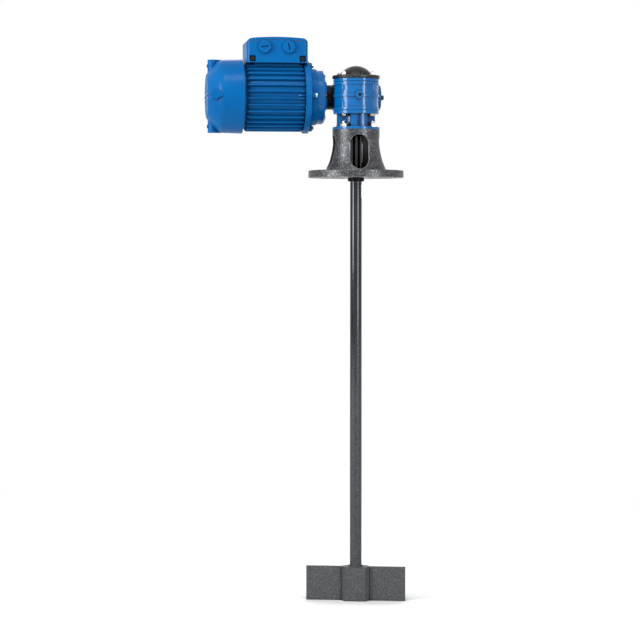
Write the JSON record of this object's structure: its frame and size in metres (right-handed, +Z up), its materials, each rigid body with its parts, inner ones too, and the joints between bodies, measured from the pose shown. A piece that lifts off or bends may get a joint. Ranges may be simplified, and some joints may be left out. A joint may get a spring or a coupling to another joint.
{
  "type": "electric tank agitator",
  "caption": "Flange motor with a worm gear unit on a cast lantern and tank flange, turning a long vertical shaft with a flat two-blade paddle to stir a tank",
  "frame": {"origin": "centre of the tank flange's underside, on the stirring shaft's axis", "axes": "+Z up along the stirring shaft, +X away from the motor, -Y to the side with the oil level plug"},
  "size_m": [0.4178, 0.2295, 1.198],
  "materials": {
    "cast_iron_paint": "satin",
    "gear_paint": "gloss",
    "motor_paint": "satin",
    "zinc_steel": "zinc plated",
    "bearing_steel": "ground",
    "shaft_steel": "turned, darkened",
    "paddle_coat": "grainy coat",
    "black_oxide": "black oxide",
    "ground_steel": "ground",
    "wheel_bronze": "cut teeth",
    "core_steel": "laminated",
    "winding_copper": "varnished copper",
    "seal_rubber": "matte",
    "black_plastic": "moulded"
  },
  "bodies": {
    "drive_body": {"lantern": "cast_iron_paint", "guide_bearing_outer_ring": "bearing_steel", "output_flange": "gear_paint", "output_seal": "seal_rubber", "lantern_studs": "zinc_steel", "housing_screws": "zinc_steel", "gear_housing": "gear_paint", "oil_level_plug": "gear_paint", "top_cover": "cast_iron_paint", "top_cover_bolts": "zinc_steel", "wheel_bearing_outer_rings": "bearing_steel", "worm_seal": "seal_rubber", "neck_ring": "black_oxide", "worm_end_cover": "gear_paint", "worm_bearing_outer_rings": "bearing_steel", "input_flange": "gear_paint", "motor_bolts": "zinc_steel", "front_endshield": "motor_paint", "stator_frame": "motor_paint", "rear_endshield": "motor_paint", "endshield_screws": "zinc_steel", "stator_core": "core_steel", "stator_windings": "winding_copper", "motor_bearing_outer_rings": "bearing_steel", "fan_cowl": "motor_paint", "cowl_screws": "zinc_steel", "terminal_box": "motor_paint", "terminal_box_gasket": "seal_rubber", "terminal_box_lid": "motor_paint", "lid_screws": "zinc_steel", "box_screws": "zinc_steel", "cable_entry_plugs": "motor_paint", "terminal_board": "black_plastic", "terminal_studs": "zinc_steel"},
    "rotor": {"rotor_shaft": "ground_steel", "rotor_core": "core_steel", "motor_key": "ground_steel", "motor_shaft_seal": "seal_rubber", "motor_bearing_inner_rings": "bearing_steel", "cooling_fan": "black_plastic", "fan_clip": "zinc_steel", "worm_shaft": "ground_steel", "worm_bearing_inner_rings": "bearing_steel"},
    "agitator": {"agitator_shaft": "shaft_steel", "paddle_boss": "paddle_coat", "left_blade": "paddle_coat", "right_blade": "paddle_coat", "paddle_welds": "paddle_coat", "guide_bearing_collar": "black_oxide", "collar_screw": "zinc_steel", "worm_wheel": "wheel_bronze", "output_sleeve": "ground_steel", "sleeve_key": "ground_steel", "retaining_washer": "zinc_steel", "retaining_bolt": "zinc_steel", "wheel_bearing_inner_rings": "bearing_steel"}
  },
  "joints": [
    {"name": "paddle_spin", "type": "hinge", "parent": "drive_body", "child": "agitator", "pos_m": [0, 0, 0], "axis": [0, 0, 1], "continuous": true},
    {"name": "rotor_spin", "type": "hinge", "parent": "drive_body", "child": "rotor", "pos_m": [0, 0.05, 0.173], "axis": [1, 0, 0], "continuous": true}
  ],
  "couplings": [
    {"joint": "rotor_spin", "follows": "paddle_spin", "ratio": 30}
  ]
}
